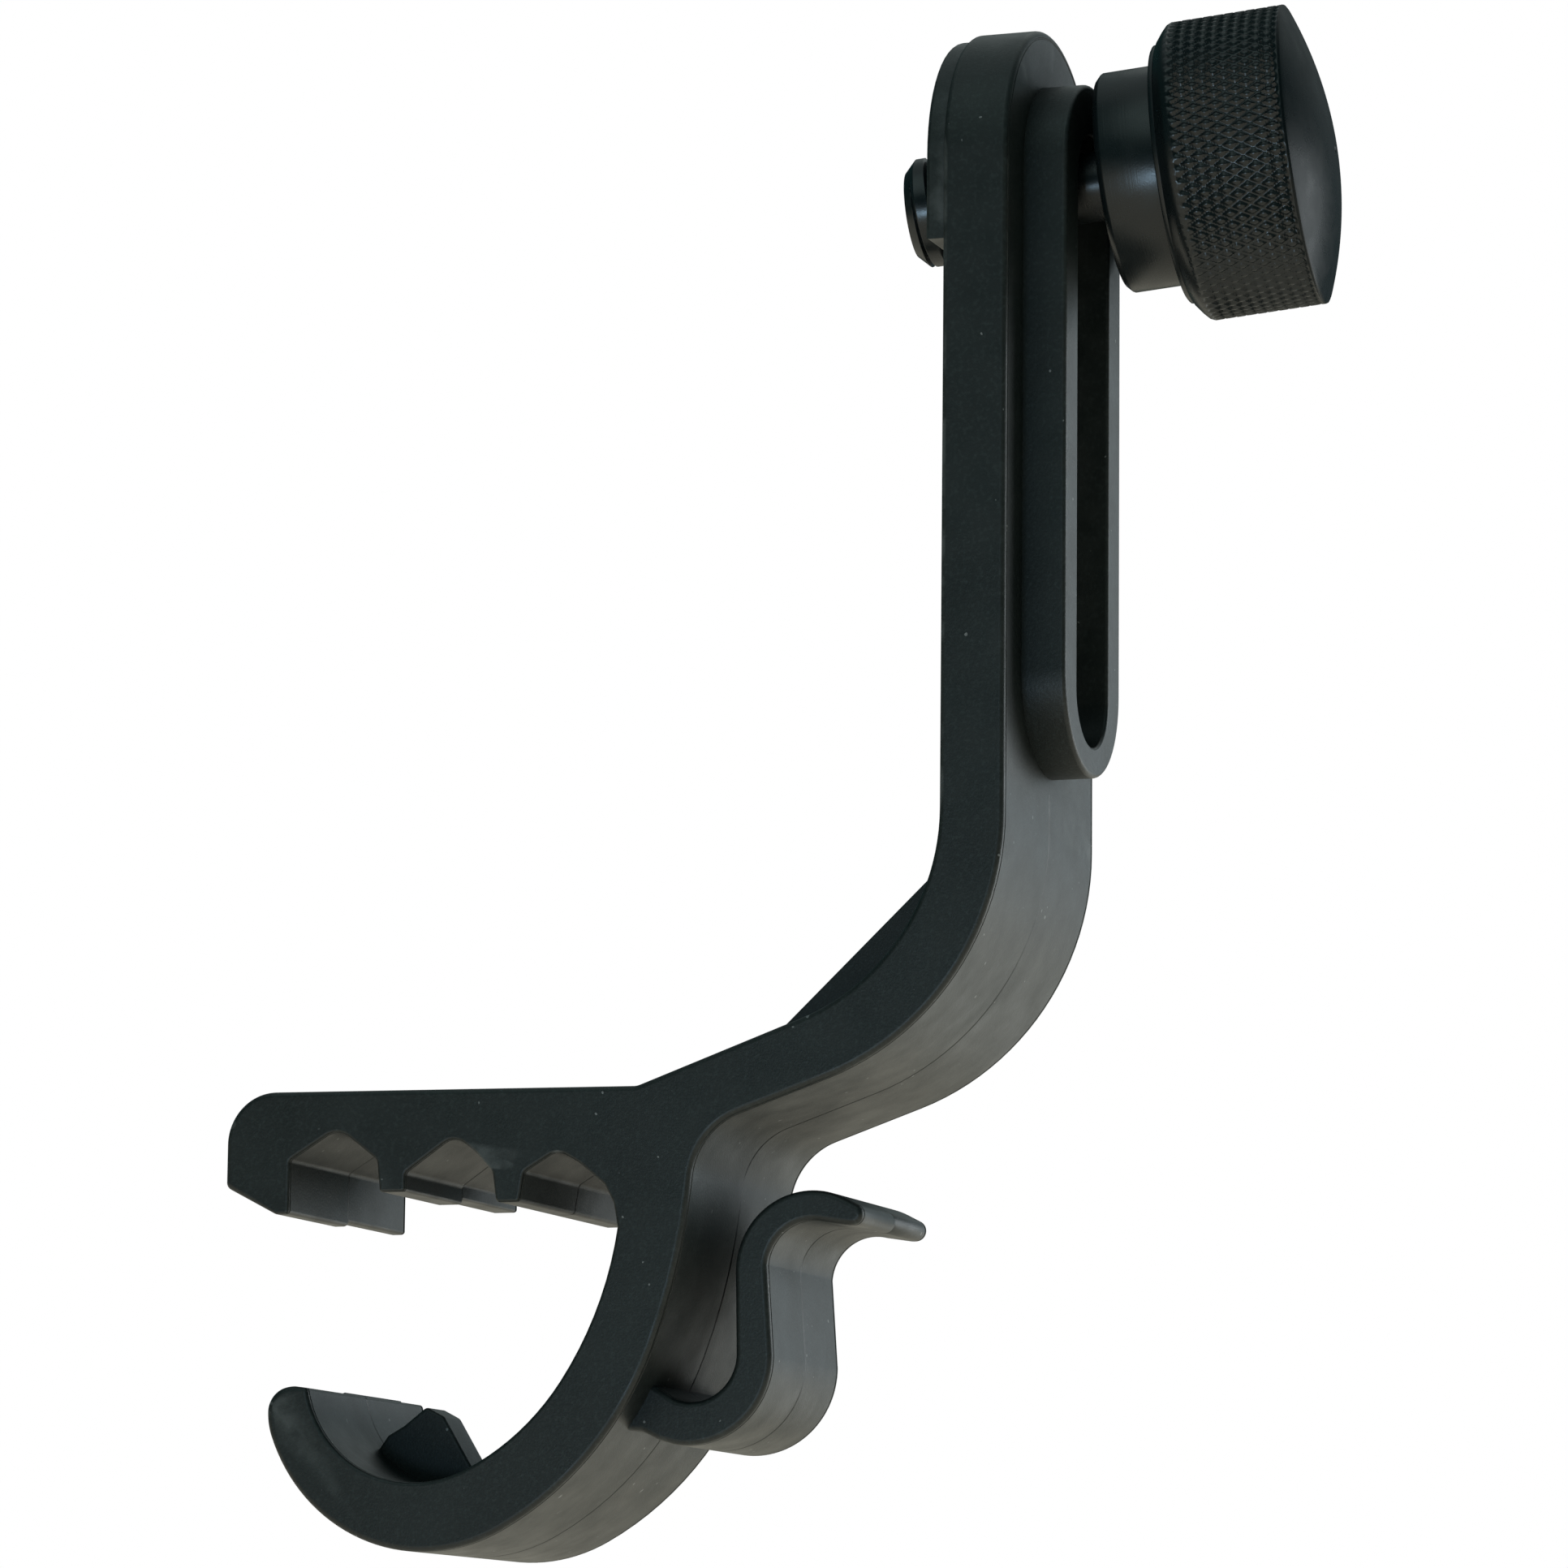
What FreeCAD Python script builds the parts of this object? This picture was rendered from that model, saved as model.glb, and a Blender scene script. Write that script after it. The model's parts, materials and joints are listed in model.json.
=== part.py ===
import FreeCAD, Part
import Sketcher
import math
import os

# A microphone clamp for a drum rim.  One black plastic moulding makes the slotted arm, the bend, the
# toothed jaw, the C-shaped spring hook and the finger lever; a captive thumbscrew (a knurled knob on
# a threaded stud) slides in the arm's slot.
#
# Frame: the origin is the crown of the front notch at mid-width, where the rim's bead seats.
# +Z runs up the arm, +X from the jaw towards the thumbscrew's knob, Y across the clamp's width.
#
# The moulding bends at two living flexures.  It is divided there into rigid pieces that turn on each
# other: the spring hook on the arm's neck, and the release lever on the hook's back.

FOLDER = "parts"

SIZES = {
    # the moulding's width, and the arm
    "body_width": 26.0,
    "edge_round": 0.5,
    "arm_outer": 59.85,
    "arm_thick": 5.65,
    "arm_top": 94.9,
    "trim_overrun": 1.0,
    # the raised seat on the arm's inner face, round the top of the slot
    "seat_bottom": 74.5,
    "seat_rise": 1.65,
    "seat_inset": 0.5,
    # the bend from the arm to the neck, which slopes down towards the jaw
    "bend_outer_radius": 23.0,
    "bend_outer_start": 25.2,
    "bend_inner_radius": 18.45,
    "bend_inner_start": 25.7,
    "neck_slope": 19.4,
    "neck_under_length": 8.6,
    "armpit_radius": 6.2,
    "armpit_sweep": 64.0,
    # the web across the inside of the bend
    "web_thick": 4.0,
    "web_top": 25.7,
    "web_foot": 32.5,
    "web_buried": 2.0,
    # the boss round the slot, and the slot
    "boss_rise": 3.8,
    "boss_radius": 8.1,
    "boss_low": 38.0,
    "boss_high": 81.1,
    "boss_edge_round": 0.4,
    "slot_radius": 4.5,
    "slot_low": 37.0,
    # the jaw: a bar whose underside has three notches, the front one over the origin
    "jaw_top": 3.5,
    "jaw_tip": 9.85,
    "jaw_nose_radius": 4.4,
    "jaw_toe_down": 4.6,
    "jaw_foot_across": 5.2,
    "jaw_foot_down": 6.85,
    "jaw_root_across": 25.25,
    "crown_radius": 2.0,
    "crown_half": 1.1,
    "crown_sag": 0.33,
    "front_notch_half": 4.15,
    "front_notch_shoulder": 2.45,
    "front_tooth_down": 5.1,
    "middle_notch_left": 6.7,
    "middle_notch_crown": 11.1,
    "middle_notch_right": 14.7,
    "middle_notch_down": 1.15,
    "middle_notch_shoulder": 3.6,
    "back_tooth_left": 15.15,
    "back_tooth_right": 17.15,
    "back_tooth_down": 6.25,
    "back_notch_left": 17.55,
    "back_notch_crown": 20.6,
    "back_notch_right": 24.95,
    "back_notch_down": 2.4,
    "back_notch_left_shoulder": 3.95,
    "back_notch_right_shoulder": 5.4,
    # the neck's flexure, where the hook turns on the arm
    "flexure_across": 28.81,
    "flexure_down": 7.8,
    "flexure_radius": 2.98,
    "flexure_lip_outer": 32.05,
    "running_gap": 0.05,
    # the spring hook: three arcs outside and three inside, each running smoothly into the next
    "hook_outer_heading": -98.6,
    "hook_outer_upper_radius": 52.9,
    "hook_outer_upper_sweep": 12.3,
    "hook_outer_middle_radius": 28.65,
    "hook_outer_middle_sweep": 40.9,
    "hook_outer_lower_radius": 14.8,
    "hook_outer_lower_sweep": 106.0,
    "hook_inner_heading": -97.0,
    "hook_inner_upper_radius": 30.5,
    "hook_inner_upper_sweep": 27.2,
    "hook_inner_middle_radius": 21.5,
    "hook_inner_middle_sweep": 29.7,
    "hook_inner_lower_radius": 10.65,
    "hook_inner_lower_sweep": 102.3,
    "hook_tip_radius": 2.6,
    # the small wedge inside the hook's toe
    "wedge_thick": 4.0,
    "wedge_toe": -0.2,
    "wedge_toe_down": 26.4,
    "wedge_knee": 2.45,
    "wedge_knee_down": 24.4,
    "wedge_peak": 4.55,
    "wedge_peak_down": 22.8,
    "wedge_brow": 6.2,
    "wedge_brow_down": 23.6,
    "wedge_heel": 9.2,
    "wedge_heel_down": 28.7,
    "wedge_root": 2.0,
    "wedge_root_step": 1.0,
    # the release lever: an S of constant thickness, from the hook's back to a rounded tip
    "lever_width": 17.6,
    "lever_thick": 2.76,
    "lever_elbow_across": 31.35,
    "lever_elbow_down": 19.25,
    "lever_elbow_radius": 5.4,
    "lever_root_heading": -33.0,
    "lever_elbow_sweep": 125.0,
    "lever_rise": 6.9,
    "lever_crest_radius": 5.3,
    "lever_crest_sweep": 122.0,
    "lever_tail": 0.8,
    "lever_gap": 0.03,
    "lever_root_half": 1.8,
    "lever_root_flare": 2.5,
    "lever_root_length": 4.0,
    # the thumbscrew: distances along its own axis, from a point inside the arm
    "screw_across": 58.85,
    "screw_height": 80.81,
    "screw_yaw": 6.6,
    "screw_pitch": 6.4,
    "stud_end": -11.24,
    "stud_end_radius": 3.72,
    "thread_start": -10.25,
    "thread_radius": 4.72,
    "thread_finish": -7.6,
    "shank_radius": 3.0,
    "shank_end": 17.0,
    "collar_start": 6.4,
    "collar_edge_radius": 8.8,
    "collar_chamfer_end": 6.88,
    "collar_radius": 9.5,
    "collar_end": 11.36,
    "shoulder_start": 11.57,
    "shoulder_radius": 11.35,
    "shoulder_end": 12.34,
    "knob_start": 13.4,
    "knob_radius": 12.87,
    "knob_end": 23.13,
    "dome_rise": 2.57,
    "bore_end": 17.2,
}

# The parts of a round socket or end that meet its neighbour stop this far short of half way round.
LIP_ANGLE = 30.0

# The web's hidden corner lies half way round the bend.
HALF_WAY = 45.0


class Size:
    """A number together with the sheet expression that gives it."""

    def __init__(self, value, text):
        self.value = value
        self.text = text

    @staticmethod
    def of(other):
        if isinstance(other, Size):
            return other
        return Size(float(other), repr(float(other)))

    def joined(self, other, sign, value):
        return Size(value, f"({self.text} {sign} {other.text})")

    def __add__(self, other):
        other = Size.of(other)
        return self.joined(other, "+", self.value + other.value)

    def __sub__(self, other):
        other = Size.of(other)
        return self.joined(other, "-", self.value - other.value)

    def __mul__(self, other):
        other = Size.of(other)
        return self.joined(other, "*", self.value * other.value)

    def __truediv__(self, other):
        other = Size.of(other)
        return self.joined(other, "/", self.value / other.value)

    def __rsub__(self, other):
        return Size.of(other) - self

    def __rmul__(self, other):
        return Size.of(other) * self

    def __neg__(self):
        return Size(-self.value, f"(-{self.text})")


def sine(angle):
    return Size(math.sin(math.radians(angle.value)), f"sin({angle.text})")


def cosine(angle):
    return Size(math.cos(math.radians(angle.value)), f"cos({angle.text})")


def write_sheet(doc):
    """Put every driving dimension in a cell of its own, under its own name."""
    sheet = doc.addObject("Spreadsheet::Sheet", "Sizes")
    for row, (name, number) in enumerate(SIZES.items(), start=1):
        sheet.set(f"A{row}", name)
        sheet.set(f"B{row}", str(number))
        sheet.setAlias(f"B{row}", name)
    doc.recompute()
    return sheet


def size(name):
    return Size(SIZES[name], f"Sizes.{name}")


def origin_plane(body, role):
    for feature in body.Origin.OriginFeatures:
        if feature.Role == role:
            return feature
    raise ValueError(role)


class Outline:
    """A closed outline of lines and arcs in a sketch; every corner and radius is bound to the sheet.

    Headings are in degrees, turning left from the sketch's first axis.
    """

    def __init__(self, body, name, plane, across, up, heading=0.0):
        self.sketch = body.newObject("Sketcher::SketchObject", name)
        self.sketch.AttachmentSupport = [(origin_plane(body, plane), "")]
        self.sketch.MapMode = "FlatFace"
        self.corners = [(Size.of(across), Size.of(up))]
        self.edges = []
        self.heading = Size.of(heading)

    def to(self, across, up):
        """A straight edge to a corner."""
        self.corners.append((Size.of(across), Size.of(up)))
        self.edges.append(None)

    def go(self, length):
        """A straight edge along the heading."""
        across, up = self.corners[-1]
        self.to(across + length * cosine(self.heading), up + length * sine(self.heading))

    def turn(self, radius, sweep, side):
        """A smooth arc along the heading; side is 1 to turn left and -1 to turn right."""
        across, up = self.corners[-1]
        after = self.heading + side * sweep
        across = across + side * radius * (sine(after) - sine(self.heading))
        up = up + side * radius * (cosine(self.heading) - cosine(after))
        self.corners.append((across, up))
        self.edges.append((radius, side))
        self.heading = after

    def arc_to(self, across, up, radius, side):
        """The shorter arc to a corner; side is 1 to turn left and -1 to turn right."""
        self.corners.append((Size.of(across), Size.of(up)))
        self.edges.append((Size.of(radius), side))

    def half_turn_to(self, across, up, side):
        """A half circle to a corner."""
        self.corners.append((Size.of(across), Size.of(up)))
        self.edges.append((None, side))

    def arc(self, start, finish, radius, side):
        middle = (start + finish) * 0.5
        half = (finish - start) * 0.5
        reach = half.Length if radius is None else radius.value
        height = math.sqrt(max(reach**2 - half.Length**2, 0.0))
        left = FreeCAD.Vector(-half.y, half.x, 0).normalize()
        centre = middle + left * height * side
        first, last = (start, finish) if side > 0 else (finish, start)
        angle = [math.atan2(p.y - centre.y, p.x - centre.x) for p in (first, last)]
        circle = Part.Circle(centre, FreeCAD.Vector(0, 0, 1), reach)
        return Part.ArcOfCircle(circle, angle[0], angle[1])

    def close(self):
        """Draw the outline, join its edges and bind it; returns the sketch."""
        points = [FreeCAD.Vector(a.value, u.value, 0) for a, u in self.corners]
        if (points[0] - points[-1]).Length < 1e-6:
            self.corners.pop()
            points.pop()
        else:
            self.edges.append(None)
        count = len(self.edges)
        ends = []
        for i, edge in enumerate(self.edges):
            start = points[i]
            finish = points[(i + 1) % count]
            if edge is None:
                self.sketch.addGeometry(Part.LineSegment(start, finish))
                ends.append((1, 2))
            else:
                self.sketch.addGeometry(self.arc(start, finish, *edge))
                ends.append((1, 2) if edge[1] > 0 else (2, 1))
        rules = []
        bound = []
        for i, edge in enumerate(self.edges):
            after = (i + 1) % count
            rules.append(Sketcher.Constraint("Coincident", i, ends[i][1], after, ends[after][0]))
            for kind, value in zip(("DistanceX", "DistanceY"), self.corners[i]):
                bound.append((len(rules), value.text))
                rules.append(Sketcher.Constraint(kind, i, ends[i][0], value.value))
            if edge is None:
                continue
            if edge[0] is None:
                middle = (self.corners[i][1] + self.corners[after][1]) / 2
                bound.append((len(rules), middle.text))
                rules.append(Sketcher.Constraint("DistanceY", i, 3, middle.value))
            else:
                bound.append((len(rules), edge[0].text))
                rules.append(Sketcher.Constraint("Radius", i, edge[0].value))
        self.sketch.addConstraint(rules)
        for index, text in bound:
            self.sketch.setExpression(f"Constraints[{index}]", text)
        return self.sketch


def new_body(doc, label):
    body = doc.addObject("PartDesign::Body", label)
    body.Label = label
    return body


def pad_across(body, name, sketch, width):
    """Pad a side outline equally to both sides of the clamp's middle plane."""
    pad = body.newObject("PartDesign::Pad", name)
    pad.Profile = sketch
    pad.SideType = "Symmetric"
    pad.setExpression("Length", width.text)
    return pad


def shift_sketch(sketch, distance):
    """Move a sketch off its plane along the plane's normal."""
    sketch.setExpression("AttachmentOffset.Base.z", distance.text)


def draw_neck_socket(side):
    """The hollow end of the neck, a round socket open downwards, from its outer lip to its inner one."""
    radius = size("flexure_radius") + size("running_gap")
    reach = radius * cosine(Size.of(LIP_ANGLE))
    up = radius * sine(Size.of(LIP_ANGLE)) - size("flexure_down")
    side.to(size("flexure_lip_outer"), up)
    side.to(size("flexure_across") + reach, up)
    side.arc_to(size("flexure_across") - reach, up, radius, 1)
    side.to(size("jaw_root_across"), up)


def draw_notch(side, crown, down, right, right_shoulder, left, left_shoulder):
    """One notch of the jaw, from its right shoulder over its rounded crown to its left shoulder."""
    half = size("crown_half")
    spring_line = -down - size("crown_sag")
    side.to(right, -right_shoulder)
    side.to(crown + half, spring_line)
    side.arc_to(crown - half, spring_line, size("crown_radius"), 1)
    side.to(left, -left_shoulder)


def draw_jaw_underside(side):
    """The three notches and the teeth between them, from the hook end to the toe."""
    draw_notch(
        side,
        size("back_notch_crown"),
        size("back_notch_down"),
        size("back_notch_right"),
        size("back_notch_right_shoulder"),
        size("back_notch_left"),
        size("back_notch_left_shoulder"),
    )
    side.to(size("back_tooth_right"), -size("back_tooth_down"))
    side.to(size("back_tooth_left"), -size("back_tooth_down"))
    draw_notch(
        side,
        size("middle_notch_crown"),
        size("middle_notch_down"),
        size("middle_notch_right"),
        size("middle_notch_shoulder"),
        size("middle_notch_left"),
        size("middle_notch_shoulder"),
    )
    side.to(size("middle_notch_left"), -size("front_tooth_down"))
    side.to(size("front_notch_half"), -size("front_tooth_down"))
    draw_notch(
        side,
        Size.of(0.0),
        Size.of(0.0),
        size("front_notch_half"),
        size("front_notch_shoulder"),
        -size("front_notch_half"),
        size("front_notch_shoulder"),
    )
    side.to(-size("front_notch_half"), -size("jaw_foot_down"))
    side.to(-size("jaw_foot_across"), -size("jaw_foot_down"))
    side.to(-size("jaw_tip"), -size("jaw_toe_down"))


def draw_moulding(body):
    """The side outline of the arm, bend and jaw, drawn from the arm's top down its outer face."""
    outer = size("arm_outer")
    inner = outer - size("arm_thick")
    top = size("arm_top")
    slope = size("neck_slope")
    jaw_top = size("jaw_top")
    nose = size("jaw_nose_radius")
    bend = size("bend_inner_radius")
    bend_end = inner - bend + bend * sine(slope)
    bend_end_up = size("bend_inner_start") - bend * cosine(slope)
    neck_foot = bend_end - (bend_end_up - jaw_top) * cosine(slope) / sine(slope)

    side = Outline(body, "side_outline", "XZ_Plane", outer, top, -90.0)
    side.to(outer, size("bend_outer_start"))
    side.turn(size("bend_outer_radius"), 90.0 - slope, -1)
    side.go(size("neck_under_length"))
    side.turn(size("armpit_radius"), size("armpit_sweep"), 1)
    draw_neck_socket(side)
    draw_jaw_underside(side)
    side.to(-size("jaw_tip"), jaw_top - nose)
    side.arc_to(nose - size("jaw_tip"), jaw_top, nose, -1)
    side.to(neck_foot, jaw_top)
    side.to(bend_end, bend_end_up)
    side.arc_to(inner, size("bend_inner_start"), bend, 1)
    side.to(inner, top)
    return pad_across(body, "moulding", side.close(), size("body_width"))


def draw_web(body):
    """The thin web that ties the arm to the neck across the inside of the bend."""
    inner = size("arm_outer") - size("arm_thick")
    slope = size("neck_slope")
    bend = size("bend_inner_radius")
    centre_across = inner - bend
    centre_up = size("bend_inner_start")
    foot = size("web_foot")
    foot_up = centre_up - bend / cosine(slope) + (foot - centre_across) * sine(slope) / cosine(slope)
    buried = size("web_buried")
    corner = (bend + buried) * sine(Size.of(HALF_WAY))

    web = Outline(body, "web_outline", "XZ_Plane", inner, size("web_top"))
    web.to(foot, foot_up)
    web.to(foot + buried, foot_up - buried)
    web.to(centre_across + corner, centre_up - corner)
    web.to(inner + buried, size("web_top"))
    pad_across(body, "web", web.close(), size("web_thick"))


def draw_stadium(body, name, radius, low, high):
    """A long rounded outline in the arm's front view."""
    stadium = Outline(body, name, "YZ_Plane", radius, low)
    stadium.to(radius, high)
    stadium.half_turn_to(-radius, high, 1)
    stadium.to(-radius, low)
    stadium.half_turn_to(radius, low, 1)
    return stadium.close()


def draw_seat(body):
    """The front view of the raised seat, which follows the arm's rounded top."""
    radius = size("body_width") / 2 - size("seat_inset")
    spring_line = size("arm_top") - size("body_width") / 2
    seat = Outline(body, "seat_outline", "YZ_Plane", radius, size("seat_bottom"))
    seat.to(radius, spring_line)
    seat.half_turn_to(-radius, spring_line, 1)
    seat.to(-radius, size("seat_bottom"))
    return seat.close()


def round_arm_top(body):
    """Cut the arm's square top to a half circle as wide as the arm."""
    radius = size("body_width") / 2
    spring_line = size("arm_top") - radius
    spare = size("trim_overrun")
    corners = Outline(body, "top_corners", "YZ_Plane", radius, spring_line)
    corners.to(radius + spare, spring_line)
    corners.to(radius + spare, size("arm_top") + spare)
    corners.to(-radius - spare, size("arm_top") + spare)
    corners.to(-radius - spare, spring_line)
    corners.to(-radius, spring_line)
    corners.half_turn_to(radius, spring_line, -1)
    return cut_along_x(body, "top_rounding", corners.close())


def is_long_arm_edge(edge):
    """Whether an edge runs along the sides of the arm and the bend, or round the arm's top."""
    box = edge.BoundBox
    half_width = SIZES["body_width"] / 2
    on_side = lies_at(edge, "Y", half_width) or lies_at(edge, "Y", -half_width)
    on_bend = on_side and box.XMin > SIZES["web_foot"]
    on_top = not on_side and box.ZMin > SIZES["seat_bottom"]
    return on_bend or (on_top and (box.XMax - box.XMin) < 0.01)


def cut_along_x(body, name, sketch):
    """Cut a front-view outline through the whole arm."""
    pocket = body.newObject("PartDesign::Pocket", name)
    pocket.Profile = sketch
    pocket.Type = "ThroughAll"
    pocket.Reversed = True
    return pocket


def raise_along_x(body, name, sketch, start, rise, reverse):
    """Raise a front-view outline from a face of the arm."""
    shift_sketch(sketch, start)
    pad = body.newObject("PartDesign::Pad", name)
    pad.Profile = sketch
    pad.Reversed = reverse
    pad.setExpression("Length", rise.text)
    return pad


def clip_arm(doc):
    """The slotted arm, its bend and the notched jaw, down to the socket in the neck."""
    body = new_body(doc, "clip_arm")
    outer = size("arm_outer")
    inner = outer - size("arm_thick")
    draw_moulding(body)
    top = round_arm_top(body)
    doc.recompute()
    round_edges(body, "edge_rounding", top, "edge_round", is_long_arm_edge)
    draw_web(body)
    raise_along_x(body, "seat", draw_seat(body), inner, size("seat_rise"), True)
    boss = draw_stadium(body, "boss_outline", size("boss_radius"), size("boss_low"), size("boss_high"))
    raised = raise_along_x(body, "boss", boss, outer, size("boss_rise"), False)
    doc.recompute()
    boss_face = SIZES["arm_outer"] + SIZES["boss_rise"]
    round_edges(body, "boss_rounding", raised, "boss_edge_round", lambda edge: lies_at(edge, "X", boss_face))
    slot = draw_stadium(body, "slot_outline", size("slot_radius"), size("slot_low"), size("boss_high"))
    cut_along_x(body, "slot", slot)
    return body


def lies_at(edge, axis, place):
    """Whether an edge lies wholly in the plane at a place along an axis."""
    box = edge.BoundBox
    low = getattr(box, axis + "Min")
    high = getattr(box, axis + "Max")
    return abs(low - place) < 1e-4 and abs(high - place) < 1e-4


def round_edges(body, name, feature, radius_name, test):
    """Fillet the edges of the latest feature that pass a test."""
    found = []
    for index, edge in enumerate(feature.Shape.Edges, start=1):
        if test(edge):
            found.append(f"Edge{index}")
    fillet = body.newObject("PartDesign::Fillet", name)
    fillet.Base = (feature, found)
    fillet.setExpression("Radius", f"Sizes.{radius_name}")
    return fillet


def walk_arcs(across, up, heading, arcs):
    """Corners along a run of smooth arcs that all turn right."""
    corners = [(across, up)]
    for radius, sweep in arcs:
        after = heading - sweep
        across = across - radius * (sine(after) - sine(heading))
        up = up - radius * (cosine(heading) - cosine(after))
        corners.append((across, up))
        heading = after
    return corners


def hook_arcs(side):
    """The radii and sweeps of one side of the hook, from the neck to the toe."""
    arcs = []
    for stretch in ("upper", "middle", "lower"):
        stem = f"hook_{side}_{stretch}"
        arcs.append((size(f"{stem}_radius"), size(f"{stem}_sweep")))
    return arcs


def draw_hook(body):
    """The C of the spring hook, under the round head that turns in the neck's socket."""
    top = -size("flexure_down")
    outside = hook_arcs("outer")
    inside = hook_arcs("inner")
    middle = size("flexure_across")
    radius = size("flexure_radius")
    outer = walk_arcs(middle + radius, top, size("hook_outer_heading"), outside)
    inner = walk_arcs(middle - radius, top, size("hook_inner_heading"), inside)

    side = Outline(body, "hook_outline", "XZ_Plane", *outer[0])
    for corner, (bow, sweep) in zip(outer[1:], outside):
        side.arc_to(*corner, bow, -1)
    side.arc_to(*inner[-1], size("hook_tip_radius"), -1)
    for corner, (bow, sweep) in zip(inner[-2::-1], inside[::-1]):
        side.arc_to(*corner, bow, 1)
    side.half_turn_to(middle + radius, top, -1)
    return pad_across(body, "hook", side.close(), size("body_width"))


def draw_wedge(body):
    """The small wedge that stands inside the hook's toe and grips under the rim."""
    wedge = Outline(body, "wedge_outline", "XZ_Plane", size("wedge_toe"), -size("wedge_toe_down"))
    wedge.to(size("wedge_knee"), -size("wedge_knee_down"))
    wedge.to(size("wedge_peak"), -size("wedge_peak_down"))
    wedge.to(size("wedge_brow"), -size("wedge_brow_down"))
    wedge.to(size("wedge_heel"), -size("wedge_heel_down"))
    wedge.to(size("wedge_heel"), -size("wedge_heel_down") - size("wedge_root"))
    wedge.to(size("wedge_toe") + size("wedge_root_step"), -size("wedge_toe_down") - size("wedge_root"))
    return pad_across(body, "wedge", wedge.close(), size("wedge_thick"))


class Strip:
    """The middle line of the lever: a place, and the way the strip runs on from it."""

    def __init__(self, across, up, heading):
        self.across = across
        self.up = up
        self.heading = heading

    def turned(self, radius, sweep, side):
        """The place at the end of a smooth arc; side is 1 to turn left and -1 to turn right."""
        after = self.heading + side * sweep
        across = self.across + side * radius * (sine(after) - sine(self.heading))
        up = self.up + side * radius * (cosine(self.heading) - cosine(after))
        return Strip(across, up, after)

    def offset(self, along, left):
        """The point some way along the heading and some way to its left."""
        across = self.across + along * cosine(self.heading) - left * sine(self.heading)
        up = self.up + along * sine(self.heading) + left * cosine(self.heading)
        return across, up


def lever_root():
    """Where the lever's flexure turns: on the middle line, just off the hook's back."""
    heading = size("lever_root_heading")
    radius = size("lever_elbow_radius")
    across = size("lever_elbow_across") + radius * sine(heading)
    up = -size("lever_elbow_down") - radius * cosine(heading)
    return Strip(across, up, heading)


def draw_lever_stub(body):
    """The lever's root on the hook's back, hollowed to hold the lever's round end."""
    root = lever_root()
    radius = size("lever_thick") / 2 + size("lever_gap")
    reach = radius * cosine(Size.of(LIP_ANGLE))
    back = -radius * sine(Size.of(LIP_ANGLE))
    half = size("lever_root_half")
    flare = size("lever_root_flare")
    deep = -size("lever_root_length")

    stub = Outline(body, "lever_stub_outline", "XZ_Plane", *root.offset(deep, flare))
    stub.to(*root.offset(back, half))
    stub.to(*root.offset(back, reach))
    stub.arc_to(*root.offset(back, -reach), radius, 1)
    stub.to(*root.offset(back, -half))
    stub.to(*root.offset(deep, -flare))
    return pad_across(body, "lever_stub", stub.close(), size("lever_width"))


def spring_hook(doc):
    """The C-shaped hook with its wedge and the lever's root."""
    body = new_body(doc, "spring_hook")
    draw_hook(body)
    draw_wedge(body)
    draw_lever_stub(body)
    return body


def release_lever(doc):
    """The S-shaped finger lever."""
    body = new_body(doc, "release_lever")
    half = size("lever_thick") / 2
    elbow = size("lever_elbow_radius")
    crest = size("lever_crest_radius")
    root = lever_root()
    knee = root.turned(elbow, size("lever_elbow_sweep"), 1)
    shoulder = Strip(*knee.offset(size("lever_rise"), 0), knee.heading)
    brow = shoulder.turned(crest, size("lever_crest_sweep"), -1)
    tail = size("lever_tail")

    side = Outline(body, "lever_outline", "XZ_Plane", *root.offset(0, half))
    side.arc_to(*knee.offset(0, half), elbow - half, 1)
    side.to(*shoulder.offset(0, half))
    side.arc_to(*brow.offset(0, half), crest + half, -1)
    side.to(*brow.offset(tail, half))
    side.half_turn_to(*brow.offset(tail, -half), -1)
    side.to(*brow.offset(0, -half))
    side.arc_to(*shoulder.offset(0, -half), crest - half, 1)
    side.to(*knee.offset(0, -half))
    side.arc_to(*root.offset(0, -half), elbow + half, -1)
    side.half_turn_to(*root.offset(0, half), -1)
    pad_across(body, "lever", side.close(), size("lever_width"))
    return body


def revolve(body, name, outline):
    """Turn a half outline fully round the piece's own axis."""
    turned = body.newObject("PartDesign::Revolution", name)
    turned.Profile = outline.close()
    turned.ReferenceAxis = (outline.sketch, ["V_Axis"])
    turned.Angle = 360.0
    return turned


def lean_with_screw(body):
    """Place a turned piece on the thumbscrew's leaning axis."""
    yaw = math.radians(SIZES["screw_yaw"])
    pitch = math.radians(SIZES["screw_pitch"])
    level = math.cos(pitch)
    axis = FreeCAD.Vector(math.cos(yaw) * level, math.sin(yaw) * level, math.sin(pitch))
    place = FreeCAD.Vector(SIZES["screw_across"], 0, SIZES["screw_height"])
    body.Placement = FreeCAD.Placement(place, FreeCAD.Rotation(FreeCAD.Vector(0, 0, 1), axis))


def threaded_stud(doc):
    """The thumbscrew's stud: a shank through the slot and a larger threaded end behind the arm."""
    body = new_body(doc, "threaded_stud")
    stud = Outline(body, "stud_outline", "XZ_Plane", 0.0, size("stud_end"))
    stud.to(size("stud_end_radius"), size("stud_end"))
    stud.to(size("thread_radius"), size("thread_start"))
    stud.to(size("thread_radius"), size("thread_finish"))
    stud.to(size("shank_radius"), size("thread_finish"))
    stud.to(size("shank_radius"), size("shank_end"))
    stud.to(0.0, size("shank_end"))
    revolve(body, "stud", stud)
    lean_with_screw(body)
    return body


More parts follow.
